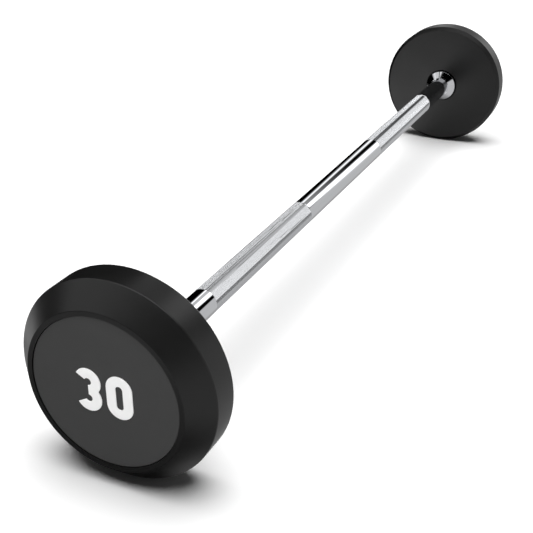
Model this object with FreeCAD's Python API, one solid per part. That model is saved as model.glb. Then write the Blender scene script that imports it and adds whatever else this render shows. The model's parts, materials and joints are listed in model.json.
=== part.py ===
"""A fixed barbell: a knurled chrome bar with a rubber-covered cast-iron head bolted on at each end.

Lengths are in millimetres. The bar lies along X and the heads stand on the plane Z = 0, with the
origin on that plane under the middle of the bar. Every piece of a head is made for the right end,
around the bar's own axis, and a half turn about the vertical gives the same piece of the left end.
"""

import FreeCAD, Part
import math
import os

Vector = FreeCAD.Vector
os.makedirs("parts", exist_ok=True)

# Bar: a plain centre, a knurled grip each side of it, a plain stretch beside each collar
grip_diameter = 28.0
head_gap = 923.0
centre_length = 237.0
plain_end_length = 103.0
knurl_depth = 0.5
knurl_run_out = 0.6

# Turned ends of the bar: a seat for the collar, then a spigot for the collar's flange and the head
collar_seat_diameter = 27.0
collar_seat_length = 8.0
spigot_diameter = 22.0
spigot_setback = 0.5
spigot_chamfer = 1.0

# Collar: a steep taper in front of a flange that runs through the rubber to the iron
collar_reach = 11.5
collar_flange_diameter = 46.0
collar_flange_front = 4.3
collar_lip = 0.4
collar_tip_round = 0.2
collar_flange_round = 0.4

# Head: outer form of the rubber
head_diameter = 186.0
head_thickness = 51.0
bevel = 19.0
inner_bevel_reach = 5.9
inner_bevel_drop = 4.7
inner_edge_round = 0.8
rim_edge_round = 2.0
face_edge_round = 1.0
face_ring_width = 4.5

# Rubber over the iron core
inner_wall = 9.0
outer_wall = 16.0
rim_wall = 14.5
core_edge_round = 3.0
collar_gap = 1.5
collar_hole_round = 0.8

# Key between spigot and core
key_width = 5.0
key_height = 5.0
key_length = 14.0
key_depth_in_spigot = 3.0
key_top_clearance = 0.3

# Fixings in the middle of the head
bolt_diameter = 12.0
bolt_length = 35.0
bolt_across_flats = 18.0
bolt_head_height = 7.5
bolt_crown_angle = 30.0
bolt_tip_chamfer = 1.2
tapped_hole_margin = 4.0
clamp_washer_diameter = 40.0
clamp_washer_thickness = 5.0
lock_washer_diameter = 21.0
lock_washer_thickness = 2.5
lock_washer_split = 1.5

# End cap over the fixings, a little below the face ring
cap_thickness = 3.5
cap_recess = 1.0
cap_edge_chamfer = 0.6
cap_skirt_depth = 6.0
cap_skirt_wall = 3.0
cap_skirt_diameter = 59.4
bolt_head_room = 4.5

# Numerals on the cap
numeral_height = 40.0
numeral_stroke = 9.0
numeral_spacing = 5.0
numeral_relief = 0.7

# Clearances, and the overrun of every cut
turned_fit = 0.1
rubber_fit = 0.3
thread_fit = 0.1
washer_fit = 0.3
pocket_fit = 1.0
overrun = 5.0

# Share of a turn that the open side of the numeral 3 takes in each of its two bowls
open_bowl_share = 1 / 3

# Radii
grip_radius = grip_diameter / 2
knurl_radius = grip_radius - knurl_depth / 2
collar_seat_radius = collar_seat_diameter / 2
spigot_radius = spigot_diameter / 2
flange_radius = collar_flange_diameter / 2
head_radius = head_diameter / 2
core_radius = head_radius - rim_wall
cap_seat_radius = head_radius - bevel - face_ring_width
cap_radius = cap_seat_radius - rubber_fit
skirt_radius = cap_skirt_diameter / 2
pocket_radius = skirt_radius + rubber_fit
bolt_radius = bolt_diameter / 2
clamp_washer_radius = clamp_washer_diameter / 2
key_bottom = spigot_radius - key_depth_in_spigot
key_top = key_bottom + key_height

# Stations along the right half of the bar, from its middle outwards
inner_face = head_gap / 2
outer_face = inner_face + head_thickness
collar_tip = inner_face - collar_reach
flange_front = inner_face - collar_flange_front
shoulder = collar_tip + collar_seat_length
knurl_start = centre_length / 2
knurl_end = collar_tip - plain_end_length
core_inner_face = inner_face + inner_wall
core_outer_face = outer_face - outer_wall
cap_front = outer_face - cap_recess
cap_back = cap_front - cap_thickness
bolt_head_top = cap_back - bolt_head_room
bolt_head_seat = bolt_head_top - bolt_head_height
lock_washer_seat = bolt_head_seat - lock_washer_thickness
washer_seat = lock_washer_seat - clamp_washer_thickness
spigot_end = washer_seat - spigot_setback
bolt_tip = bolt_head_seat - bolt_length
key_start = (core_inner_face + washer_seat - key_length) / 2

origin = Vector(0, 0, 0)
bar_direction = Vector(1, 0, 0)
up = Vector(0, 0, 1)
whole_turn = 360.0


def turned(outline):
    """Solid of revolution about the bar's axis, from (station, radius) points."""
    corners = [Vector(station, 0, radius) for station, radius in outline]
    wire = Part.makePolygon(corners + corners[:1])
    return Part.Face(wire).revolve(origin, bar_direction, whole_turn)


def cylinder(radius, start, end):
    """Round bar on the axis, between two stations."""
    return Part.makeCylinder(radius, end - start, Vector(start, 0, 0), bar_direction)


def ring(outer_radius, inner_radius, start, end):
    """Flat ring on the axis, between two stations."""
    hole = cylinder(inner_radius, start - overrun, end + overrun)
    return cylinder(outer_radius, start, end).cut(hole)


def circles(shape, station, radius):
    """The shape's circular edges at one station and radius."""
    found = []
    for edge in shape.Edges:
        curve = edge.Curve
        if curve.TypeId != "Part::GeomCircle":
            continue
        same_station = math.isclose(curve.Center.x, station, rel_tol=1e-6)
        if same_station and math.isclose(curve.Radius, radius, rel_tol=1e-6):
            found.append(edge)
    return found


def half_turn(shape):
    """The same piece at the left end."""
    copy = shape.copy()
    copy.rotate(origin, up, whole_turn / 2)
    return copy


def key_block(bottom, top, start, end):
    """Block of the key's width above the axis, for the key itself and for the slots that hold it."""
    corner = Vector(start, -key_width / 2, bottom)
    return Part.makeBox(end - start, key_width, top - bottom, corner)


def shaft():
    """The bar, with both grips, collar seats and spigots."""
    right_half = [
        (knurl_start, grip_radius),
        (knurl_start + knurl_run_out, knurl_radius),
        (knurl_end - knurl_run_out, knurl_radius),
        (knurl_end, grip_radius),
        (collar_tip, grip_radius),
        (collar_tip, collar_seat_radius),
        (shoulder, collar_seat_radius),
        (shoulder, spigot_radius),
        (spigot_end - spigot_chamfer, spigot_radius),
        (spigot_end, spigot_radius - spigot_chamfer),
        (spigot_end, 0),
    ]
    left_half = [(-station, radius) for station, radius in reversed(right_half)]
    bar = turned(left_half + right_half)
    tapped_hole = cylinder(bolt_radius + thread_fit, bolt_tip - tapped_hole_margin, spigot_end + overrun)
    key_slot = key_block(key_bottom, key_top + overrun, key_start, key_start + key_length)
    for tool in (tapped_hole, key_slot):
        bar = bar.cut(tool).cut(half_turn(tool))
    return bar


def collar():
    """Chrome ring that bears on the bar's shoulder inside and on the core behind."""
    sleeve_bore = collar_seat_radius + turned_fit
    flange_bore = spigot_radius + turned_fit
    tip_radius = grip_radius + collar_lip
    body = turned([
        (collar_tip, sleeve_bore),
        (collar_tip, tip_radius),
        (flange_front, flange_radius),
        (core_inner_face, flange_radius),
        (core_inner_face, flange_bore),
        (shoulder, flange_bore),
        (shoulder, sleeve_bore),
    ])
    body = body.makeFillet(collar_tip_round, circles(body, collar_tip, tip_radius))
    return body.makeFillet(collar_flange_round, circles(body, flange_front, flange_radius))


def core_blank():
    """The core before it is bored: a disc with rounded edges."""
    disc = cylinder(core_radius, core_inner_face, core_outer_face)
    edges = circles(disc, core_inner_face, core_radius) + circles(disc, core_outer_face, core_radius)
    return disc.makeFillet(core_edge_round, edges)


def core():
    """Cast-iron weight with its bore, a keyway through the bore and a recess for the clamp washer."""
    start = core_inner_face - overrun
    end = core_outer_face + overrun
    bore = cylinder(spigot_radius + turned_fit, start, end)
    recess = cylinder(clamp_washer_radius + pocket_fit, washer_seat, end)
    keyway = key_block(0, key_top + key_top_clearance, start, end)
    return core_blank().cut(bore).cut(recess).cut(keyway)


def jacket():
    """Rubber cover, moulded on the core, with a hole for the collar and a seat for the end cap."""
    collar_hole = flange_radius + collar_gap
    inner_face_radius = head_radius - inner_bevel_drop
    inner_bevel_end = inner_face + inner_bevel_reach
    face_radius = head_radius - bevel
    bevel_start = outer_face - bevel
    body = turned([
        (inner_face, collar_hole),
        (inner_face, inner_face_radius),
        (inner_bevel_end, head_radius),
        (bevel_start, head_radius),
        (outer_face, face_radius),
        (outer_face, cap_seat_radius),
        (cap_back, cap_seat_radius),
        (cap_back, collar_hole),
    ])
    body = body.makeFillet(collar_hole_round, circles(body, inner_face, collar_hole))
    body = body.makeFillet(inner_edge_round, circles(body, inner_face, inner_face_radius))
    body = body.makeFillet(inner_edge_round, circles(body, inner_bevel_end, head_radius))
    body = body.makeFillet(rim_edge_round, circles(body, bevel_start, head_radius))
    body = body.makeFillet(face_edge_round, circles(body, outer_face, face_radius))
    pocket = cylinder(pocket_radius, core_outer_face, cap_back + overrun)
    return body.cut(pocket).cut(core_blank())


def key():
    """Parallel key, half in the spigot and half in the core."""
    return key_block(key_bottom, key_top, key_start, key_start + key_length)


def clamp_washer():
    """Thick flat washer, seated in the core."""
    return ring(clamp_washer_radius, bolt_radius + washer_fit, washer_seat, lock_washer_seat)


def lock_washer():
    """Spring washer, split once."""
    body = ring(lock_washer_diameter / 2, bolt_radius + washer_fit, lock_washer_seat, bolt_head_seat)
    corner = Vector(lock_washer_seat - overrun, -lock_washer_split / 2, 0)
    length = lock_washer_thickness + 2 * overrun
    split = Part.makeBox(length, lock_washer_split, lock_washer_diameter, corner)
    return body.cut(split)


def end_bolt():
    """Hexagon bolt, its thread plain at the outer diameter."""
    sides = 6
    flat_radius = bolt_across_flats / 2
    corner_radius = flat_radius / math.cos(math.pi / sides)
    corners = []
    for index in range(sides + 1):
        angle = 2 * math.pi * index / sides
        across = corner_radius * math.cos(angle)
        height = corner_radius * math.sin(angle)
        corners.append(Vector(bolt_head_seat, across, height))
    prism = Part.Face(Part.makePolygon(corners)).extrude(Vector(bolt_head_height, 0, 0))
    crown = (corner_radius - flat_radius) * math.tan(math.radians(bolt_crown_angle))
    dome = turned([
        (bolt_head_seat, 0),
        (bolt_head_seat, corner_radius),
        (bolt_head_top - crown, corner_radius),
        (bolt_head_top, flat_radius),
        (bolt_head_top, 0),
    ])
    shank = cylinder(bolt_radius, bolt_tip, bolt_head_seat)
    shank = shank.makeChamfer(bolt_tip_chamfer, circles(shank, bolt_tip, bolt_radius))
    return prism.common(dome).fuse(shank).removeSplitter()


def end_cap():
    """Disc that closes the head, with a skirt that locates it in the pocket over the bolt."""
    disc = cylinder(cap_radius, cap_back, cap_front)
    disc = disc.makeChamfer(cap_edge_chamfer, circles(disc, cap_front, cap_radius))
    skirt = ring(skirt_radius, skirt_radius - cap_skirt_wall, cap_back - cap_skirt_depth, cap_back)
    return disc.fuse(skirt).removeSplitter()


def numeral_disc(radius, across, height):
    """Round block of the numerals' thickness on the cap, by its place on the face."""
    return Part.makeCylinder(radius, numeral_relief, Vector(cap_front, across, height), bar_direction)


def numeral_ring(across, height, radius):
    """Ring of the numerals' stroke on the cap."""
    return numeral_disc(radius, across, height).cut(numeral_disc(radius - numeral_stroke, across, height))


def bowl_radius():
    """Outer radius of each bowl of the 3, whose two rings share one stroke in the middle."""
    return (numeral_height + numeral_stroke) / 4


def open_wedge(across, height, first_angle, last_angle):
    """Wedge that opens one bowl of the 3, between two angles from the numeral's right-hand side."""
    reach = numeral_height
    corners = [Vector(cap_front, across, height)]
    for angle in (first_angle, (first_angle + last_angle) / 2, last_angle):
        corners.append(Vector(cap_front, across + reach * math.cos(angle), height + reach * math.sin(angle)))
    return Part.Face(Part.makePolygon(corners + corners[:1])).extrude(Vector(numeral_relief, 0, 0))


def numeral_three(across):
    """The 3: two bowls that share the middle stroke, each open from that stroke round to its tail."""
    radius = bowl_radius()
    drop = radius - numeral_stroke / 2
    middle_angle = 1.5 * math.pi
    tail_angle = middle_angle - 2 * math.pi * open_bowl_share
    upper = numeral_ring(across, drop, radius).cut(open_wedge(across, drop, tail_angle, middle_angle))
    lower = numeral_ring(across, -drop, radius).cut(open_wedge(across, -drop, -middle_angle, -tail_angle))
    return upper.fuse(lower).removeSplitter()


def numeral_slot(across, width, height):
    """Upright block with round ends, for the outside and the inside of the 0."""
    radius = width / 2
    reach = height / 2 - radius
    corner = Vector(cap_front, across - radius, -reach)
    block = Part.makeBox(numeral_relief, width, 2 * reach, corner)
    for side in (1, -1):
        block = block.fuse(numeral_disc(radius, across, side * reach))
    return block


def numeral_zero(across):
    """The 0, as wide as the 3."""
    width = 2 * bowl_radius()
    outside = numeral_slot(across, width, numeral_height)
    inside = numeral_slot(across, width - 2 * numeral_stroke, numeral_height - 2 * numeral_stroke)
    return outside.cut(inside).removeSplitter()


def write(name, shape):
    """Stand the piece on Z = 0 with the rest of the barbell and write it."""
    placed = shape.copy()
    placed.translate(Vector(0, 0, head_radius))
    placed.exportStep("parts/" + name + ".step")
    print(name, "solids", len(placed.Solids), "valid", placed.isValid(), "volume", round(placed.Volume))


numeral_offset = bowl_radius() + numeral_spacing / 2
head_pieces = {
    "collar": collar(),
    "core": core(),
    "jacket": jacket(),
    "key": key(),
    "clamp_washer": clamp_washer(),
    "lock_washer": lock_washer(),
    "end_bolt": end_bolt(),
    "end_cap": end_cap(),
    "numeral_3": numeral_three(-numeral_offset),
    "numeral_0": numeral_zero(numeral_offset),
}

write("shaft", shaft())
for piece_name, piece in head_pieces.items():
    write("right_" + piece_name, piece)
    write("left_" + piece_name, half_turn(piece))
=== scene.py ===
# %% [markdown]
# # A fixed barbell
# A fixed barbell is one steel bar with a weight fastened for good at each end. This one has a
# chromed bar with two knurled grips, two turned chrome collars, and two heads of cast iron under
# moulded rubber, each closed by a flat disc that carries a plain number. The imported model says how
# large every piece is and where it lies. This lesson loads it as a fixed frame, models what the
# eye sees again, with softened edges and real knurling, and then gives every surface its finish.

# %% Load the frame
import bmesh
import bpy
import json
import math
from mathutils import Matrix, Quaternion, Vector

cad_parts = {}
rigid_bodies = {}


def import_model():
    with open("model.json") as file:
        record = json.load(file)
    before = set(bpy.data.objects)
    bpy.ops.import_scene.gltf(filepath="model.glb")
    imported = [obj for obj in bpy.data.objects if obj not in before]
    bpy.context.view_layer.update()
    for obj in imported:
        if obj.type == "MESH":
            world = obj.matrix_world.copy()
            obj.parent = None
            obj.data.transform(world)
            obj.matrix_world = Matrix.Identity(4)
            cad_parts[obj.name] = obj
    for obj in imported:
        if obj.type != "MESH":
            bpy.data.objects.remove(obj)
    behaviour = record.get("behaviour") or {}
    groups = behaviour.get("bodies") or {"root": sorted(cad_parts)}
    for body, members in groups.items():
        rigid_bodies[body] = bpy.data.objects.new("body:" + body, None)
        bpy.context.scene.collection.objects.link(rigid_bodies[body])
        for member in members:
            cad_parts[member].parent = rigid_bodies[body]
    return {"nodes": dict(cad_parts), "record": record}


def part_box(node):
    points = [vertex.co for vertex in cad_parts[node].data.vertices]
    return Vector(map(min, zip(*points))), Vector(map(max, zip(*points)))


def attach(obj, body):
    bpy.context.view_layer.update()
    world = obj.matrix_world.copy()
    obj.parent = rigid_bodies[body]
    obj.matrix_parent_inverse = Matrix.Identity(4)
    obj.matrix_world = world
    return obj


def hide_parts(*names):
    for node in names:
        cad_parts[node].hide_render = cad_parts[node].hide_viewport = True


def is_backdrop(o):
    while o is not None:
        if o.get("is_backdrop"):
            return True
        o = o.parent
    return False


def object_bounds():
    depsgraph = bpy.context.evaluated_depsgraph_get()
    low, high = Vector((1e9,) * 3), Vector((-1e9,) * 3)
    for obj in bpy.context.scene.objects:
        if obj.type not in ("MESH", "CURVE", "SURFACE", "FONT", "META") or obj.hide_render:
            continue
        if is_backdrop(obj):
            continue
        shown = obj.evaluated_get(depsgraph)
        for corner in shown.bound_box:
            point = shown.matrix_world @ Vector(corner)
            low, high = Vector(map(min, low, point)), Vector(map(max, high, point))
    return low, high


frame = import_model()
cad_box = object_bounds()
bpy.ops.object.select_all(action="DESELECT")
print("CAD nodes loaded:", len(frame["nodes"]))

# %% [markdown]
# ## Sizes
# Every size comes from the frame where it has one: the mounts give the radii of the head and the
# bar and the place of each grip, and the boxes of the CAD pieces give where each piece starts and
# ends along the bar. They could be typed in again, but then the two models would drift apart at
# the first change. What is left is small, such as a rounding, and is named where it is first
# needed. Places along the bar are called stations and are given for the right half.

# %% Read the sizes
mm = 0.001
mounts = {mount["name"]: mount for mount in frame["record"]["mounts"]}
axis_height = mounts["right_rim"]["pos_m"][2]
head_radius = mounts["right_rim"]["dims"]["r_mm"] * mm
bar_radius = mounts["right_rack_seat"]["dims"]["r_mm"] * mm
knurl_mean_radius = mounts["right_grip"]["dims"]["r_mm"] * mm
grip_middle = mounts["right_grip"]["pos_m"][0]
grip_length = mounts["right_grip"]["dims"]["length_mm"] * mm

inner_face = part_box("right_jacket")[0].x
outer_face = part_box("right_jacket")[1].x
collar_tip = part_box("right_collar")[0].x
core_inner_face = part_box("right_core")[0].x
core_outer_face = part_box("right_core")[1].x
spigot_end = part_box("shaft")[1].x
cap_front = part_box("right_end_cap")[1].x
axis_point = Vector((0, 0, axis_height))
print("head radius", head_radius, "bar radius", bar_radius, "outer face", round(outer_face, 4))

# %% [markdown]
# ## Camera
# The photograph looks down along the bar from beyond the left head, close enough that the left
# head looks twice as large as the right one. A longer lens from farther off would make them alike,
# so the distance matters more than the angle. The camera's place was found by fitting the circles
# of both heads and the bar's outlines, and it is given here by where it stands and what it looks
# at.

# %% Set the camera
camera_place = Vector((-1008.0, -378.5, 515.5)) * mm
camera_aim = Vector((-254.8, -21.3, 93.0)) * mm
camera_roll = math.radians(-0.175)
sensor_width = 36.0
lens = 62.6

looking = (camera_aim - camera_place).to_track_quat("-Z", "Y")
looking = looking @ Quaternion((0, 0, 1), camera_roll)
bpy.ops.object.camera_add(location=camera_place, rotation=looking.to_euler())
camera = bpy.context.active_object
camera.name = "photo_camera"
camera.data.sensor_width = sensor_width
camera.data.lens = lens
bpy.context.scene.camera = camera
bpy.context.scene.view_settings.view_transform = "Standard"
print("camera stands", round((camera_aim - camera_place).length, 3), "m from its aim")

# %% [markdown]
# ## White backdrop
# A product picture has a plain white backdrop, and the backdrop is not the same thing as the
# light. Here the world shows white to the camera and to mirrors, but gives the pieces only a trace
# of light. Almost all light then comes from above, which keeps the shadow under the heads dark and
# soft. A Light Path node tells the two uses apart, and the floor further down uses the same
# helper. The world and all materials are nets of nodes, so a helper that adds one node and joins
# it to others comes first.

# %% Add a node
def node(tree, kind, inputs, **settings):
    """Add a node, set its settings, and fill its inputs with links or plain values."""
    made = tree.nodes.new(kind)
    for name, value in settings.items():
        setattr(made, name, value)
    for name, value in inputs.items():
        if isinstance(value, bpy.types.NodeSocket):
            tree.links.new(value, made.inputs[name])
        else:
            made.inputs[name].default_value = value
    return made


print("node helper ready")

# %% Make the world
room_light = 0.05
backdrop_light = 1.0


def seen_directly(tree):
    """1 for camera, mirror and see-through rays, which should meet the plain backdrop, else 0."""
    rays = node(tree, "ShaderNodeLightPath", {})
    total = rays.outputs["Is Camera Ray"]
    for name in ("Is Glossy Ray", "Is Transmission Ray"):
        inputs = {0: total, 1: rays.outputs[name]}
        total = node(tree, "ShaderNodeMath", inputs, operation="MAXIMUM").outputs[0]
    return total


def two_faced(tree, kind, greys, output):
    """Join two shaders of a kind: the first grey lights the pieces, the second is seen directly."""
    tree.nodes.clear()
    lights, seen = (node(tree, kind, {"Color": (grey, grey, grey, 1)}).outputs[0] for grey in greys)
    mix = node(tree, "ShaderNodeMixShader", {0: seen_directly(tree), 1: lights, 2: seen})
    node(tree, output, {"Surface": mix.outputs[0]})


world = bpy.data.worlds.new("white_studio")
world.use_nodes = True
bpy.context.scene.world = world
two_faced(world.node_tree, "ShaderNodeBackground", (room_light, backdrop_light),
          "ShaderNodeOutputWorld")
print("world lights with", room_light, "and shows as", backdrop_light)

# %% [markdown]
# ## Overhead lamp
# One wide softbox hangs above the barbell. An area lamp could be that softbox, but its light gets
# weaker along the bar. A sun lamp with an angle of 60 degrees lights both heads alike: its light
# comes from a broad disc of the sky, so shadows are dark where a head touches the floor and fade
# out within a hand's width. Mirrors don't see the lamp, because they get their own panels next.

# %% Hang the softbox
softbox_angle = math.radians(60)
overhead_light = 1.25
overhead_place = (0, 0, 2)
bpy.ops.object.light_add(type="SUN", location=overhead_place)
overhead = bpy.context.active_object
overhead.name = "overhead_softbox"
overhead.data.angle = softbox_angle
overhead.data.energy = overhead_light * math.pi
overhead.visible_glossy = False
print("overhead light", overhead_light)

# %% [markdown]
# ## Reflectors
# Chrome has no colour of its own: it shows the room. A studio for chrome is black with a few white
# panels, and the edges between them draw the long stripes along the bar. Each wall here is a card
# that only reflections can see. So it draws the stripes on the chrome and the sheen on the rubber,
# and throws no light on the floor. It has an even level, and patches of other levels are laid on
# it one after another. A patch has soft edges, and each of them is given as an axis, the place
# where the patch begins and the place where it has its full level.

# %% Soften the edges of a patch
def soft_patch(tree, across, edges):
    """How strongly a patch covers each point: 0 outside its edges, 1 well inside all of them."""
    covered = None
    for axis, begins, full in edges:
        inputs = {"Value": across.outputs[axis], "From Min": begins, "From Max": full}
        edge = node(tree, "ShaderNodeMapRange", inputs, interpolation_type="SMOOTHSTEP")
        if covered:
            inputs = {0: covered, 1: edge.outputs[0]}
            edge = node(tree, "ShaderNodeMath", inputs, operation="MULTIPLY")
        covered = edge.outputs[0]
    return covered


print("patch helper ready")

# %% Make a reflector
def upright_card(start, end, top):
    """The corners of a card that stands on the floor from one point to another."""
    return [(*start, 0), (*end, 0), (*end, top), (*start, top)]


def level_card(start, end, height):
    """The corners of a card that lies level between two opposite points."""
    (left, near), (right, back) = start, end
    return [(left, near, height), (right, near, height),
            (right, back, height), (left, back, height)]


def reflector(name, corners, level, patches):
    """A card for reflections only: an even level with (level, *edges) patches laid on in turn."""
    mesh = bpy.data.meshes.new(name)
    mesh.from_pydata(corners, [], [(0, 1, 2, 3)])
    card = bpy.data.objects.new(name, mesh)
    bpy.context.scene.collection.objects.link(card)
    material = bpy.data.materials.new(name)
    material.use_nodes = True
    tree = material.node_tree
    tree.nodes.clear()
    place = node(tree, "ShaderNodeTexCoord", {}).outputs["Object"]
    across = node(tree, "ShaderNodeSeparateXYZ", {0: place})
    for patch_level, *edges in patches:
        inputs = {"Factor": soft_patch(tree, across, edges), "A": level, "B": patch_level}
        level = node(tree, "ShaderNodeMix", inputs).outputs["Result"]
    glow = node(tree, "ShaderNodeEmission", {"Strength": level})
    node(tree, "ShaderNodeOutputMaterial", {"Surface": glow.outputs[0]})
    mesh.materials.append(material)
    card.visible_camera = False
    card.visible_diffuse = False
    card.visible_shadow = False
    card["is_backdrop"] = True
    print(name, "patches:", len(patches))


print("reflector helpers ready")

# %% [markdown]
# ## Far wall
# The wall beyond the right head matters most, because the whole visible side of the bar mirrors
# it. It has a wide panel on the right that gets wider above, and a narrow one on the left, a dim
# strip between them at the top, and a grey skirting below. Their places were found by following
# the mirrored ray from each stripe in the photograph back to the wall.

# %% Set up the far wall
wall = 3.2
far = 3.0
far_top = 5.0
black = 0.0
white_panel = 2.2
grey_skirting = 0.49
dim_strip = 0.5
reflector("far_wall", upright_card((far, -wall), (far, wall), far_top), black, [
    (grey_skirting, ("Z", 1.3, 0.9), ("Y", 1.1, 0.8)),
    (dim_strip, ("Z", 1.68, 2.35), ("Y", -0.75, -0.45), ("Y", 1.05, 0.75)),
    (white_panel, ("Y", -1.7, -1.28), ("Y", -0.305, -1.055), ("Z", 0.2, 1.3)),
    (white_panel, ("Y", -2.1, -1.5), ("Y", -1.1, -1.3), ("Z", 1.7, 2.1)),
    (white_panel, ("Y", 0.4, 1.1), ("Y", 1.52, 0.47), ("Z", 0.55, 1.05)),
])

# %% [markdown]
# ## Other walls and ceiling
# These are seen by the cones of the collars, the bevels of the heads and the small flat sides of
# the knurl. Those sides face all ways, so a knurled grip shows the whole room at once, mixed to a
# soft light grey. A low card over the left grip adds the light that the black part of the ceiling
# keeps from it.

# %% Set up the near and side walls
near_panel = 0.45
grey_panel = 0.5
pale_panel = 0.6
bright_panel = 1.5
dim_panel = 0.3
dim_wall = 0.13
reflector("near_wall", upright_card((-wall, -wall), (-wall, wall), wall), black, [
    (near_panel, ("Y", 0.95, 1.25), ("Z", 0.85, 1.15)),
    (dim_panel, ("Y", -1.45, -1.75), ("Z", 0.9, 0.7)),
])
reflector("left_wall", upright_card((-wall, wall), (far, wall), wall), black, [
    (dim_panel, ("X", 1.05, 0.75), ("Z", 1.7, 2.0)),
    (pale_panel, ("X", -0.15, -0.35), ("Z", 1.05, 1.35)),
    (bright_panel, ("X", -0.8, -0.4), ("X", 0.9, 0.5), ("Z", 2.15, 3.05)),
])
reflector("right_wall", upright_card((-wall, -wall), (far, -wall), wall), black, [
    (dim_panel, ("Z", 0.9, 0.7)),
    (dim_wall, ("X", -1.65, -1.35)),
    (grey_panel, ("X", -2.45, -2.15), ("Z", 2.3, 1.5)),
])

# %% Set up the ceiling and the low card
white_ceiling = 1.2
reflector("ceiling", level_card((-wall, -wall), (far, wall), wall), black, [
    (pale_panel, ("X", 0.6, 0.2), ("Y", 1.55, 1.75)),
    (white_ceiling, ("X", -1.05, -0.95), ("X", 1.05, 0.55), ("Y", -3.0, -2.0), ("Y", 1.5, 1.1)),
    (bright_panel, ("X", -0.2, 0.2), ("X", 1.05, 0.55), ("Y", -2.55, -2.05), ("Y", -0.15, -0.65)),
])
low = 1.2
low_grey = 0.65
low_white = 1.25
reflector("low_card", level_card((-1.1, -0.8), (-0.5, 1.1), low), low_grey, [
    (low_white, ("Y", 0.55, 0.45)),
])

# %% [markdown]
# ## Ground in reflections
# The lower side of the chrome shows the floor close below it. With the paper floor alone it would
# show plain white, so mirrors see a card of their own there: grey on the side of the camera, black
# behind the bar, and with the shadows of the bar and of both heads on it. It is white in front of
# the right head, because the flat inner face there takes its sheen from that part of the floor,
# black beyond that head, and pale on the far side of the left one.

# %% Lay the mirrored ground
field = 30
lift = 0.5 * mm
grey_ground = 0.48
white_ground = 1.3
pale_ground = 0.85
shadow_before_left_head = 0.05
bar_shadow = 0.34
head_shadow = 0.01
under_bar = (("Y", -0.075, -0.015), ("Y", 0.075, 0.015))
under_head = (("Y", -0.08, -0.03), ("Y", 0.08, 0.03))
# Painted shadows on this card: the left head's shadow in front of it, the bar's shadow and the
# shadows under both heads.
reflector("ground", level_card((-field, -field), (field, field), lift), grey_ground, [
    (black, ("Y", 0.22, 0.32)),
    (white_ground, ("X", -0.3, -0.1), ("X", 0.5, 0.46), ("Y", -0.04, 0.06), ("Y", 0.32, 0.22)),
    (black, ("X", 0.46, 0.5), ("Y", 0.0, 0.06)),
    (shadow_before_left_head, ("X", -0.81, -0.51), ("X", -0.49, -0.51), ("Y", -0.2, -0.1), ("Y", 0.35, 0.25)),
    (pale_ground, ("X", -0.85, -0.65), ("X", 0.0, -0.4), ("Y", 0.25, 0.35), ("Y", 0.95, 0.65)),
    (bar_shadow, ("X", -0.46, -0.44), ("X", 0.46, 0.44), *under_bar),
    (head_shadow, ("X", -0.522, -0.502), ("X", -0.437, -0.467), *under_head),
    (head_shadow, ("X", 0.437, 0.467), ("X", 0.522, 0.502), *under_head),
])

# %% [markdown]
# ## Floor
# The floor is a white sheet that runs out of view on all sides. The camera sees it pure white
# where no shadow falls, and for the light that it throws back at the barbell it is a little
# greyer, as paper is.

# %% Lay the floor
paper_light = 0.8
paper_seen = 1.0
bpy.ops.mesh.primitive_plane_add(size=2 * field)
floor = bpy.context.active_object
floor.name = "studio_floor"
paper = bpy.data.materials.new("floor_paper")
paper.use_nodes = True
two_faced(paper.node_tree, "ShaderNodeBsdfDiffuse", (paper_light, paper_seen),
          "ShaderNodeOutputMaterial")
floor.data.materials.append(paper)
floor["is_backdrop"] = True
print("floor side", floor.dimensions.x, "m")

# %% [markdown]
# ## Helpers for modelling
# An operator works on whatever is selected, as it does by hand. So the one tool that every step
# needs is a way to select by place: the helper below clears the selection and then takes the
# vertices, edges or faces that pass a test. A face counts as end-on to the bar when its normal's
# share along X is over a limit. The other helpers measure and scale about the bar's axis, draw the
# selection out, and start and end a piece.

# %% Pick by place
end_on = 0.9


def pick(kind, test):
    """In edit mode, select only the vertices, edges or faces that pass a test, and count them."""
    mesh = bpy.context.edit_object.data
    bpy.ops.mesh.select_mode(type=kind)
    bpy.ops.mesh.select_all(action="DESELECT")
    shape = bmesh.from_edit_mesh(mesh)
    parts = {"VERT": shape.verts, "EDGE": shape.edges, "FACE": shape.faces}[kind]
    chosen = [part for part in parts if test(part)]
    for part in chosen:
        part.select_set(True)
    bmesh.update_edit_mesh(mesh)
    return len(chosen)


def radius_at(point):
    """Distance of a point from the bar's axis."""
    return math.hypot(point.y, point.z - axis_height)


def scale_round_axis(factor):
    """Scale the selection towards or away from the bar's axis."""
    bpy.ops.transform.resize(value=(1, factor, factor), center_override=axis_point)


def draw_out(x, y, z):
    """Extrude the selected faces or edges by a move."""
    bpy.ops.mesh.extrude_region_move(TRANSFORM_OT_translate={"value": (x, y, z)})


print("pick helpers ready")

# %% Start and end a piece
def start_edit(name):
    """Name the new primitive, put its place into its mesh and select all of it in edit mode."""
    piece = bpy.context.active_object
    piece.name = name
    piece.data.name = name
    bpy.ops.object.transform_apply()
    bpy.ops.object.mode_set(mode="EDIT")
    bpy.ops.mesh.select_mode(type="VERT")
    bpy.ops.mesh.select_all(action="SELECT")
    return piece


def end_edit(piece, sharp_angle, flat_faces):
    """Leave edit mode, shade smooth up to an angle and, if asked, keep flat faces looking flat."""
    bpy.ops.object.mode_set(mode="OBJECT")
    bpy.ops.object.shade_smooth_by_angle(angle=math.radians(sharp_angle))
    if flat_faces:
        bpy.ops.object.modifier_add(type="WEIGHTED_NORMAL")
        piece.modifiers[0].keep_sharp = True
        bpy.ops.object.modifier_apply(modifier=piece.modifiers[0].name)
    print(piece.name, "faces:", len(piece.data.polygons))


print("piece helpers ready")

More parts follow.
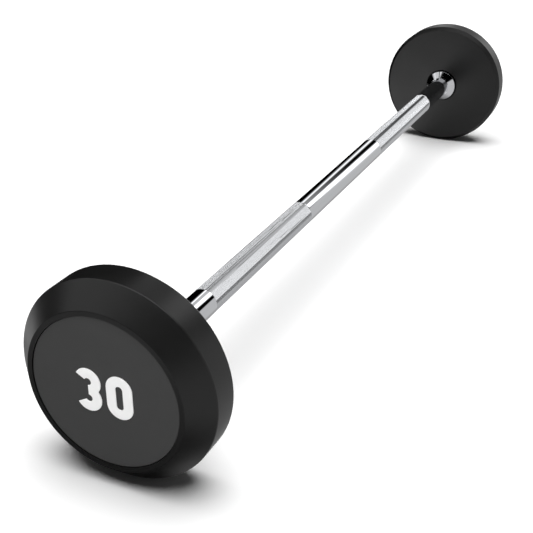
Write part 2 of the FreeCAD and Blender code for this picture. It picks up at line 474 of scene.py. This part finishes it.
# %% [markdown]
# ## Bar
# The bar is one round steel rod. Its ends are turned down twice: to a short seat that the collar
# slides on, and to a spigot that carries the head, with a chamfered end and a tapped hole for the
# bolt. It could be built of several cylinders, but then it would have hidden faces inside. Here
# each end face is drawn out step by step, with its radius changed between the steps, so the bar
# stays one closed skin.

# %% Turn the bar
bar_sides = 52
lay_along_bar = (0, math.radians(90), 0)
seat_radius = 13.5 * mm
seat_length = 8.0 * mm
spigot_radius = 11.0 * mm
spigot_chamfer = 1.0 * mm
spigot_length = spigot_end - collar_tip - seat_length - spigot_chamfer
thread_radius = 6.1 * mm
tapped_depth = 31.0 * mm
bpy.ops.mesh.primitive_cylinder_add(
    vertices=bar_sides, radius=bar_radius, depth=2 * collar_tip, end_fill_type="NGON",
    location=axis_point, rotation=lay_along_bar)
bar = start_edit("knurled_bar")
for side in (1, -1):
    pick("FACE", lambda face: face.normal.x * side > end_on)
    radius = bar_radius
    for along, new_radius in (
            (0, seat_radius), (seat_length, seat_radius),
            (0, spigot_radius), (spigot_length, spigot_radius),
            (spigot_chamfer, spigot_radius - spigot_chamfer),
            (0, thread_radius), (-tapped_depth, thread_radius)):
        draw_out(side * along, 0, 0)
        if new_radius != radius:
            scale_round_axis(new_radius / radius)
        radius = new_radius
print("spigot length", round(spigot_length / mm, 2), "mm")

# %% [markdown]
# ## Knurl
# Knurling is rolled, not cut: two hardened wheels with slanting teeth press a diamond pattern into
# the steel, so the hand doesn't slip. Each diamond is a small pyramid with four flat sides. A
# normal map would be lighter, but it gives no real outline, so the diamonds are modelled. They
# come from a grid of rectangles on the grip: each rectangle gets a middle point joined to its
# corners, and then the grid's own lines are dissolved, which leaves a net of diamonds. The long
# edges are divided in two goes, because subdivide makes at most 100 cuts.

# %% Sink the grips and divide them
knurl_depth = 2 * (bar_radius - knurl_mean_radius)
knurl_start = grip_middle - grip_length / 2
knurl_end = grip_middle + grip_length / 2
run_out = 0.6 * mm
first_split = 2
second_split = 95
rectangle_length = grip_length / (first_split * second_split)
tiny = 0.01 * mm


def in_grip(point):
    """True for a point at a station of one of the two grips."""
    return knurl_start - tiny < abs(point.x) < knurl_end + tiny


def long_in_grip(edge):
    """True for an edge that still runs along most of one grip, or of half a grip."""
    first, second = (corner.co for corner in edge.verts)
    one_grip = in_grip(first) and in_grip(second) and first.x * second.x > 0
    return one_grip and abs(first.x - second.x) > grip_length / (first_split + 1)


for station in (knurl_start - run_out, knurl_start, knurl_end, knurl_end + run_out):
    for side in (1, -1):
        bpy.ops.mesh.select_all(action="SELECT")
        bpy.ops.mesh.bisect(plane_co=(side * station, 0, axis_height), plane_no=(1, 0, 0))
pick("VERT", lambda corner: in_grip(corner.co))
scale_round_axis((bar_radius - knurl_depth) / bar_radius)
for split in (first_split, second_split):
    pick("EDGE", long_in_grip)
    bpy.ops.mesh.subdivide(number_cuts=split - 1)
print("knurl", round(knurl_depth / mm, 3), "mm deep")
print("rectangles", round(rectangle_length / mm, 3), "mm long")

# %% Turn the rectangles into diamonds
def is_cell(face):
    """True for a whole rectangle or diamond of a grip."""
    stations = [corner.co.x for corner in face.verts]
    length = max(stations) - min(stations)
    return in_grip(face.calc_center_median()) and abs(length - rectangle_length) < tiny


def on_grid(edge):
    """True for an edge inside a grip that runs round the bar or along it, and not slanting."""
    first, second = (corner.co for corner in edge.verts)
    inside = knurl_start + tiny < abs((first.x + second.x) / 2) < knurl_end - tiny
    round_bar = abs(first.x - second.x) < tiny
    along_bar = math.hypot(first.y - second.y, first.z - second.z) < tiny
    return inside and (round_bar or along_bar)


pick("FACE", is_cell)
bpy.ops.mesh.poke(offset=0)
pick("EDGE", on_grid)
bpy.ops.mesh.dissolve_edges(use_verts=False)
diamonds = pick("FACE", lambda face: len(face.verts) == 4 and is_cell(face))
bpy.ops.mesh.poke(offset=knurl_depth)
end_edit(bar, sharp_angle=20, flat_faces=False)
tip_radius = max(radius_at(corner.co) for corner in bar.data.vertices)
print("diamonds:", diamonds, "with tips at", round(tip_radius / mm, 3), "mm")

# %% Enter the bar in the frame
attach(bar, "root")
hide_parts("shaft")
bar_triangles = sum(len(face.vertices) - 2 for face in bar.data.polygons)
print("bar triangles:", bar_triangles)

# %% [markdown]
# ## Turned and moulded rings
# Collars and rubber jackets are round about the bar, so both are made as on a lathe: half of the
# section is drawn as a closed outline, its corners are rounded, and it is spun about the axis. Cut
# cylinders would give the same shape, but with worse edges and more work. The outline is a list of
# corners, each with its station, its radius and its rounding. A corner bevel takes the distance
# from the corner to where the round starts, and that depends on how sharply the outline turns
# there.

# %% Spin an outline
round_segments = 6


def turn_outline(name, corners, steps):
    """Draw (station, radius, rounding) corners, round them and spin the outline about the axis."""
    points = [Vector((station, 0, axis_height + radius)) for station, radius, rounding in corners]
    bpy.ops.mesh.primitive_plane_add(size=mm, location=points[0])
    piece = start_edit(name)
    bpy.ops.mesh.merge(type="CENTER")
    for point, after in zip(points, points[1:]):
        bpy.ops.mesh.extrude_vertices_move(TRANSFORM_OT_translate={"value": after - point})
    bpy.ops.mesh.select_all(action="SELECT")
    bpy.ops.mesh.edge_face_add()
    for number, (point, (station, radius, rounding)) in enumerate(zip(points, corners)):
        if not rounding:
            continue
        before = points[number - 1]
        after = points[(number + 1) % len(points)]
        turn = (point - before).angle(after - point)
        pick("VERT", lambda corner: (corner.co - point).length < tiny)
        bpy.ops.mesh.bevel(
            offset=rounding * math.tan(turn / 2), segments=round_segments, affect="VERTICES")
    bpy.ops.mesh.select_all(action="SELECT")
    bpy.ops.mesh.delete(type="ONLY_FACE")
    bpy.ops.mesh.select_all(action="SELECT")
    bpy.ops.mesh.spin(steps=steps, angle=math.radians(360), center=axis_point, axis=(1, 0, 0))
    bpy.ops.mesh.select_all(action="SELECT")
    bpy.ops.mesh.remove_doubles(threshold=tiny)
    bpy.ops.mesh.normals_make_consistent(inside=False)
    end_edit(piece, sharp_angle=30, flat_faces=True)
    return piece


print("ring helper ready")

# %% [markdown]
# The left half of the barbell is the right half turned by half a turn about the upright line
# through the middle. Mirroring would be as quick, but it would show the numbers on the left disc
# back to front.

# %% Copy to the left side
def pair(right, part):
    """Copy a right-hand piece to the left by half a turn, and enter both in the frame."""
    bpy.ops.object.select_all(action="DESELECT")
    right.select_set(True)
    bpy.context.view_layer.objects.active = right
    bpy.ops.object.duplicate()
    left = bpy.context.active_object
    left.rotation_euler.z = math.pi
    bpy.ops.object.transform_apply()
    left.name = right.name.replace("right_", "left_")
    left.data.name = left.name
    for piece, side in ((right, "right_"), (left, "left_")):
        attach(piece, "root")
        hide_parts(side + part)
    return right, left


print("pair helper ready")

# %% [markdown]
# ## Collar
# The collar is a turned and chromed ring between the bar and the head. Its cone grows steeply from
# just over the bar's own radius, and the flange behind it runs through the rubber to the iron. Two
# bevelled cylinders would leave a seam between cone and flange, so it is one outline. Its edges
# are only broken by a few tenths of a millimetre, and the chrome shows a thin bright line there.

# %% Spin the collar
shoulder = collar_tip + seat_length
flange_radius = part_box("right_collar")[1].y
flange_front = inner_face - 4.3 * mm
cone_tip_radius = bar_radius + 0.4 * mm
fit_gap = 0.1 * mm
tip_round = 0.2 * mm
flange_round = 0.4 * mm
collar_steps = 128
collar = turn_outline("right_collar_ring", [
    (collar_tip, seat_radius + fit_gap, 0),
    (collar_tip, cone_tip_radius, tip_round),
    (flange_front, flange_radius, flange_round),
    (core_inner_face, flange_radius, 0),
    (core_inner_face, spigot_radius + fit_gap, 0),
    (shoulder, spigot_radius + fit_gap, 0),
    (shoulder, seat_radius + fit_gap, 0),
], collar_steps)
collars = pair(collar, "collar")

# %% [markdown]
# ## Rubber jacket
# The jacket is moulded round the iron core. The mould gives it a wide 45 degree bevel on the
# outside, so that the head doesn't chip when it is put down, a small bevel on the inside, and a
# recess for the end disc. Rubber has no sharp edges, so every visible corner gets a round of one
# or two millimetres. The rounds are in the outline already, because a bevel after the spin would
# have to find whole circles of edges. The hollow for the core follows the core's box, and stays
# out of sight.

# %% Spin the jacket
core_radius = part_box("right_core")[1].y
hole_radius = flange_radius + 1.5 * mm
inner_bevel_reach = 5.9 * mm
inner_bevel_drop = 4.7 * mm
inner_round = 0.8 * mm
outer_bevel = 19.0 * mm
outer_round = 2.0 * mm
face_round = 1.0 * mm
recess_radius = 69.5 * mm
disc_thickness = 3.5 * mm
disc_back = cap_front - disc_thickness
skirt_seat_radius = 30.0 * mm
core_round = 3.0 * mm
head_steps = 192
jacket = turn_outline("right_rubber_jacket", [
    (inner_face, hole_radius, inner_round),
    (inner_face, head_radius - inner_bevel_drop, inner_round),
    (inner_face + inner_bevel_reach, head_radius, inner_round),
    (outer_face - outer_bevel, head_radius, outer_round),
    (outer_face, head_radius - outer_bevel, face_round),
    (outer_face, recess_radius, 0),
    (disc_back, recess_radius, 0),
    (disc_back, skirt_seat_radius, 0),
    (core_outer_face, skirt_seat_radius, 0),
    (core_outer_face, core_radius, core_round),
    (core_inner_face, core_radius, core_round),
    (core_inner_face, hole_radius, 0),
], head_steps)
jackets = pair(jacket, "jacket")

# %% [markdown]
# ## End disc
# A matt disc closes the recess, and a skirt on its back finds the middle. It could be one more
# spun outline, but a spun face has a fan of thin triangles in its middle, and a cylinder's end is
# one flat face. Two insets on the back mark the ring of the skirt, which is drawn out inwards. The
# front edge is softened, so that a fine dark joint shows between disc and rubber.

# %% Make the end disc
disc_radius = 69.2 * mm
skirt_radius = 29.7 * mm
skirt_wall = 3.0 * mm
skirt_depth = 6.0 * mm
disc_edge = 0.6 * mm
edge_segments = 3
bpy.ops.mesh.primitive_cylinder_add(
    vertices=head_steps, radius=disc_radius, depth=disc_thickness, end_fill_type="NGON",
    location=((cap_front + disc_back) / 2, 0, axis_height), rotation=lay_along_bar)
disc = start_edit("right_end_disc")


def on_skirt(face):
    """True for the ring on the disc's back that the skirt stands on."""
    ring = skirt_radius - skirt_wall < radius_at(face.calc_center_median()) < skirt_radius
    return ring and face.normal.x < -end_on


def on_front_edge(edge):
    """True for the circle of edges round the disc's front."""
    return all(
        abs(corner.co.x - cap_front) < tiny and abs(radius_at(corner.co) - disc_radius) < tiny
        for corner in edge.verts)


pick("FACE", lambda face: face.normal.x < -end_on)
bpy.ops.mesh.inset(thickness=disc_radius - skirt_radius)
bpy.ops.mesh.inset(thickness=skirt_wall)
pick("FACE", on_skirt)
draw_out(-skirt_depth, 0, 0)
pick("EDGE", on_front_edge)
bpy.ops.mesh.bevel(offset=disc_edge, segments=edge_segments)
end_edit(disc, sharp_angle=40, flat_faces=True)
discs = pair(disc, "end_cap")

# %% [markdown]
# ## Figures
# The weight is given by two raised white figures, a plain 3 and a plain 0. A text object would
# bring a font with it, and every font draws them differently. Both are one stroke of even width,
# so they are drawn like a signwriter draws them: an edge as wide as the stroke is spun round each
# bowl and drawn along each straight. The flat figure is then raised, closed and softened at its
# front edge.

# %% Draw with one stroke
figure_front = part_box("right_numeral_0")[1].x
figure_height = 40.0 * mm
stroke = 9.0 * mm
figure_edge = 0.3 * mm
bowl_radius = (figure_height + stroke) / 4
bowl_height = figure_height / 2 - bowl_radius
bowl_steps = 32


def start_stroke(name, across, up, turn):
    """Draw one edge across a stroke, at an angle on a bowl whose centre is given."""
    centre = Vector((cap_front, across, axis_height + up))
    outward = Vector((0, math.cos(turn), math.sin(turn)))
    bpy.ops.mesh.primitive_plane_add(size=mm, location=centre + outward * (bowl_radius - stroke))
    piece = start_edit(name)
    bpy.ops.mesh.merge(type="CENTER")
    bpy.ops.mesh.extrude_vertices_move(TRANSFORM_OT_translate={"value": outward * stroke})
    bpy.ops.mesh.select_all(action="SELECT")
    return piece


def raise_figure(piece):
    """Give the flat figure its thickness, close it and soften its front edge."""
    bpy.ops.mesh.select_all(action="SELECT")
    bpy.ops.mesh.remove_doubles(threshold=tiny)
    draw_out(figure_front - cap_front, 0, 0)
    bpy.ops.mesh.select_all(action="SELECT")
    bpy.ops.mesh.normals_make_consistent(inside=False)
    pick("EDGE", lambda edge: all(abs(corner.co.x - figure_front) < tiny for corner in edge.verts)
         and any(abs(face.normal.x) < end_on for face in edge.link_faces))
    bpy.ops.mesh.bevel(offset=figure_edge, segments=edge_segments)
    end_edit(piece, sharp_angle=30, flat_faces=False)


print("figures", figure_height / mm, "mm high, stroke", stroke / mm, "mm")

# %% [markdown]
# The 0 is two half bowls joined by two straights. The 3 is one bowl of two thirds of a turn, cut
# off at the height of the axis and mirrored down, so that both halves meet in the middle.

# %% Zero
zero_across = sum(corner.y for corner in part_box("right_numeral_0")) / 2
zero = start_stroke("right_digit_zero", zero_across, -bowl_height, 0)
draw_out(0, 0, 2 * bowl_height)
for up in (bowl_height, -bowl_height):
    centre = (cap_front, zero_across, axis_height + up)
    bpy.ops.mesh.spin(steps=bowl_steps, angle=-math.pi, center=centre, axis=(1, 0, 0))
    if up > 0:
        draw_out(0, 0, -2 * bowl_height)
raise_figure(zero)
zeros = pair(zero, "numeral_0")

# %% Three
three_across = -zero_across
three_start = math.radians(150)
three_turn = math.radians(240)
three = start_stroke("right_digit_three", three_across, bowl_height, three_start)
centre = (cap_front, three_across, axis_height + bowl_height)
bpy.ops.mesh.spin(steps=bowl_steps, angle=three_turn, center=centre, axis=(1, 0, 0))
bpy.ops.mesh.select_all(action="SELECT")
bpy.ops.mesh.bisect(plane_co=axis_point, plane_no=(0, 0, 1), clear_inner=True)
bpy.ops.mesh.select_all(action="SELECT")
bpy.ops.mesh.duplicate()
bpy.ops.transform.resize(value=(1, 1, -1), center_override=axis_point)
raise_figure(three)
threes = pair(three, "numeral_3")

# %% [markdown]
# ## Helpers for finishes
# A finish here is a small net of nodes round one shader. Its patterns are measured in Object
# coordinates, which are metres on the real barbell, so a grain of half a millimetre stays half a
# millimetre on every piece. Image textures would need each piece unwrapped. Nearly all values of a
# noise lie between 0.3 and 0.7, so that range is stretched to the one that a finish needs. The
# materials go on through the object, so that no mesh changes.

# %% Start and apply a material
def new_material(name):
    """A new material: itself, its node tree, its shader and the coordinates its patterns use."""
    material = bpy.data.materials.new(name)
    material.use_nodes = True
    tree = material.node_tree
    place = node(tree, "ShaderNodeTexCoord", {}).outputs["Object"]
    return material, tree, tree.nodes["Principled BSDF"], place


def paint(material, *pieces):
    """Put a material on pieces of any kind, through the object."""
    for piece in pieces:
        if not piece.material_slots:
            piece.data.materials.append(material)
        for slot in piece.material_slots:
            slot.link = "OBJECT"
            slot.material = material
    print(material.name, "on", len(pieces), "pieces")


print("material helpers ready")

# %% Patterns, mixes and relief
noise_range = (0.3, 0.7)


def noise(tree, place, scale, detail, stretch=(1, 1, 1)):
    """Noise with so many patches to the metre, and more along an axis with a large stretch."""
    place = node(tree, "ShaderNodeMapping", {"Vector": place, "Scale": stretch}).outputs[0]
    inputs = {"Vector": place, "Scale": scale, "Detail": detail}
    return node(tree, "ShaderNodeTexNoise", inputs).outputs[0]


def remap(tree, value, low, high, new_low, new_high):
    """Stretch a range of a value to a new range."""
    inputs = {"Value": value, "From Min": low, "From Max": high,
              "To Min": new_low, "To Max": new_high}
    return node(tree, "ShaderNodeMapRange", inputs).outputs[0]


def blend(tree, factor, first, second):
    """Mix two colours, each a link or three plain numbers."""
    ends = {name: value if isinstance(value, bpy.types.NodeSocket) else (*value, 1)
            for name, value in (("A", first), ("B", second))}
    mixed = node(tree, "ShaderNodeMix", {"Factor": factor, **ends}, data_type="RGBA")
    return mixed.outputs["Result"]


def finish(tree, shader, colour, roughness, height, strength, depth):
    """Give the shader its colour, its roughness and a fine relief."""
    inputs = {"Height": height, "Strength": strength, "Distance": depth}
    relief = node(tree, "ShaderNodeBump", inputs).outputs[0]
    looks = {"Base Color": colour, "Roughness": roughness, "Normal": relief}
    for name, value in looks.items():
        tree.links.new(value, shader.inputs[name])


print("finish helpers ready")

# %% [markdown]
# ## Chrome
# Decorative chrome is a hard, slightly blue-grey mirror on polished steel. A shader that is
# metallic and smooth would look like a mirror out of a catalogue. What makes it real is small:
# fine lines left by turning and polishing, which run round the bar, and a faint haze from
# handling. Both change the roughness a little. In the bottoms of the knurl the bar is painted
# darker, as painted shade, by a test of the distance from the axis.

# %% Plate the bar and the collars
plate_bright = (0.935, 0.945, 0.975)
plate_hazy = (0.905, 0.915, 0.945)
# Painted shade: the colour of the chrome in the bottoms of the knurl.
painted_groove_shade = (0.74, 0.75, 0.77)
plate_roughness = (0.03, 0.07)
haze_patches = 18.0
unshaded_tip = 0.1 * mm
bar_lines = 2200
collar_lines = 3000
line_breaks = 25
line_strength = 0.02
line_depth = 0.02 * mm


def from_axis(tree, place):
    """Distance of the shaded point from the bar's axis, in metres."""
    kind = "ShaderNodeVectorMath"
    moved = node(tree, kind, {0: place, 1: (0, 0, -axis_height)}, operation="ADD")
    flat = node(tree, kind, {0: moved.outputs[0], 1: (0, 1, 1)}, operation="MULTIPLY")
    return node(tree, kind, {0: flat.outputs[0]}, operation="LENGTH").outputs["Value"]


def chrome(name, lines, knurled):
    """Chrome with so many polishing lines to the metre, with painted shade in the bottoms of a
    knurl.
    """
    material, tree, shader, place = new_material(name)
    polish = noise(tree, place, scale=1.0, detail=2.0, stretch=(lines, line_breaks, line_breaks))
    haze = noise(tree, place, haze_patches, detail=3.0)
    colour = blend(tree, haze, plate_hazy, plate_bright)
    if knurled:
        # Painted shade: the colour darkens from the knurl's tips down to its bottoms.
        bottom, top = bar_radius - knurl_depth, bar_radius - unshaded_tip
        raised = remap(tree, from_axis(tree, place), bottom, top, 0, 1)
        colour = blend(tree, raised, painted_groove_shade, colour)
    roughness = remap(tree, polish, *noise_range, *plate_roughness)
    finish(tree, shader, colour, roughness, polish, line_strength, line_depth)
    shader.inputs["Metallic"].default_value = 1
    return material


paint(chrome("bar_chrome", bar_lines, True), bar)
paint(chrome("collar_chrome", collar_lines, False), *collars)

# %% [markdown]
# ## Rubber
# The jacket is black rubber with the low sheen of a polished mould. The end disc is grey rubber,
# more matt and with a deeper grain, and the figures are white and smoother. They could be three
# plain colours, but rubber is never even: release agent and handling leave large soft patches in
# its colour and sheen, and the mould leaves a fine grain. One function gives all three both of
# these.

# %% Mould the rubbers
rubber_patches = 22.0
grain_strength = 0.3


def rubber(name, dark, light, roughness, grain, grain_depth):
    """Rubber between two colours, with a range of roughness and so many grains to the metre."""
    material, tree, shader, place = new_material(name)
    patches = noise(tree, place, rubber_patches, detail=4.0)
    finish(tree, shader, blend(tree, patches, dark, light),
           remap(tree, patches, *noise_range, *roughness),
           noise(tree, place, grain, detail=3.0), grain_strength, grain_depth)
    return material


jacket_rubber = rubber(
    "jacket_rubber", dark=(0.005, 0.005, 0.005), light=(0.007, 0.007, 0.007),
    roughness=(0.30, 0.38), grain=1400, grain_depth=0.03 * mm)
disc_rubber = rubber(
    "cap_rubber", dark=(0.039, 0.039, 0.039), light=(0.043, 0.043, 0.043),
    roughness=(0.70, 0.80), grain=2200, grain_depth=0.06 * mm)
figure_rubber = rubber(
    "numeral_white", dark=(0.86, 0.86, 0.855), light=(0.89, 0.89, 0.885),
    roughness=(0.5, 0.6), grain=1800, grain_depth=0.02 * mm)
paint(jacket_rubber, *jackets)
paint(disc_rubber, *discs)
paint(figure_rubber, *zeros, *threes)

# %% [markdown]
# ## Inner bevel of the heads
# The narrow bevel round the inner face isn't polished in the mould, so it is a duller ring between
# the face and the rim, and its colour is made darker there as painted shade. A second material would
# need its own slot and a hard border. A test on the station needs neither: it is equal on both heads
# apart from its sign, and colour and roughness change within half a millimetre.

# %% Dull the inner bevel
bevel_roughness = 0.45
# Painted shade: the bevel's colour, darker than the jacket's.
bevel_painted_shade = (0.002, 0.002, 0.002)
border = 0.5 * mm
bevel_end = inner_face + inner_bevel_reach
tree = jacket_rubber.node_tree
shader = tree.nodes["Principled BSDF"]
place = node(tree, "ShaderNodeTexCoord", {}).outputs["Object"]
station = node(tree, "ShaderNodeSeparateXYZ", {0: place}).outputs["X"]
station = node(tree, "ShaderNodeMath", {0: station}, operation="ABSOLUTE").outputs[0]
past_face = remap(tree, station, inner_face, inner_face + border, 0, 1)
before_rim = remap(tree, station, bevel_end - border, bevel_end, 1, 0)
on_bevel = node(tree, "ShaderNodeMath", {0: past_face, 1: before_rim}, operation="MULTIPLY")
on_bevel = on_bevel.outputs[0]
polished = shader.inputs["Roughness"].links[0].from_socket
dulled = node(tree, "ShaderNodeMix", {"Factor": on_bevel, "A": polished, "B": bevel_roughness})
tree.links.new(dulled.outputs["Result"], shader.inputs["Roughness"])
# Painted shade: the bevel's base colour is blended darker than the rest of the jacket.
black_rubber = shader.inputs["Base Color"].links[0].from_socket
tree.links.new(blend(tree, on_bevel, black_rubber, bevel_painted_shade), shader.inputs["Base Color"])
print("inner bevel roughness", bevel_roughness)

# %% [markdown]
# ## Metal inside the head
# The core, the key, the washers and the bolt stay hidden in the picture. They are the CAD pieces
# themselves, and get their real finishes, because the model can be opened: the core dark and
# coarse, as it comes from the sand mould, and the fixings zinc plated, with the fine scratches of
# the drum they are tumbled in.

# %% Finish the hidden metal
def bare_metal(name, dark, light, roughness, scale, detail, stretch, strength, depth, metallic):
    """Metal on which one noise gives the colour, the roughness and the relief."""
    material, tree, shader, place = new_material(name)
    marks = noise(tree, place, scale, detail, stretch)
    finish(tree, shader, blend(tree, marks, dark, light),
           remap(tree, marks, *noise_range, *roughness), marks, strength, depth)
    shader.inputs["Metallic"].default_value = metallic
    return material


iron = bare_metal(
    "core_iron", dark=(0.11, 0.11, 0.115), light=(0.20, 0.195, 0.19), roughness=(0.65, 0.85),
    scale=260.0, detail=5.0, stretch=(1, 1, 1), strength=0.6, depth=0.4 * mm, metallic=0.6)
zinc = bare_metal(
    "fixing_steel", dark=(0.46, 0.47, 0.49), light=(0.58, 0.585, 0.60), roughness=(0.28, 0.42),
    scale=1.0, detail=3.0, stretch=(900, 120, 900), strength=0.2, depth=0.03 * mm, metallic=1)

sides = ("left_", "right_")
fixings = ("key", "clamp_washer", "lock_washer", "end_bolt")
paint(iron, *(frame["nodes"][side + "core"] for side in sides))
paint(zinc, *(frame["nodes"][side + fixing] for side in sides for fixing in fixings))

# %% [markdown]
# ## Front fill
# The overhead lamp alone leaves the upright faces too dark. A second wide lamp from the side of
# the camera fills them in. A light link lets it reach the pieces and not the floor, so the shadow
# on the floor keeps its one clear direction.

# %% Add the fill
fill_light = 0.38
fill_place = (-2, -0.5, 1)
fill_direction = Vector((1, 0.2, -0.45))
fill_turn = fill_direction.to_track_quat("-Z", "Y").to_euler()
bpy.ops.object.light_add(type="SUN", location=fill_place, rotation=fill_turn)
fill = bpy.context.active_object
fill.name = "front_fill"
fill.data.angle = softbox_angle
fill.data.energy = fill_light * math.pi
fill.visible_glossy = False
lit = bpy.data.collections.new("filled_pieces")
for item in bpy.data.objects:
    if item.type == "MESH" and item != floor:
        lit.objects.link(item)
fill.light_linking.receiver_collection = lit

# %% Print the sizes
visual_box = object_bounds()
boxes = {"cad": [list(corner) for corner in cad_box],
         "visual": [list(corner) for corner in visual_box]}
for name, box in boxes.items():
    print(name, [round(value, 4) for corner in box for value in corner])
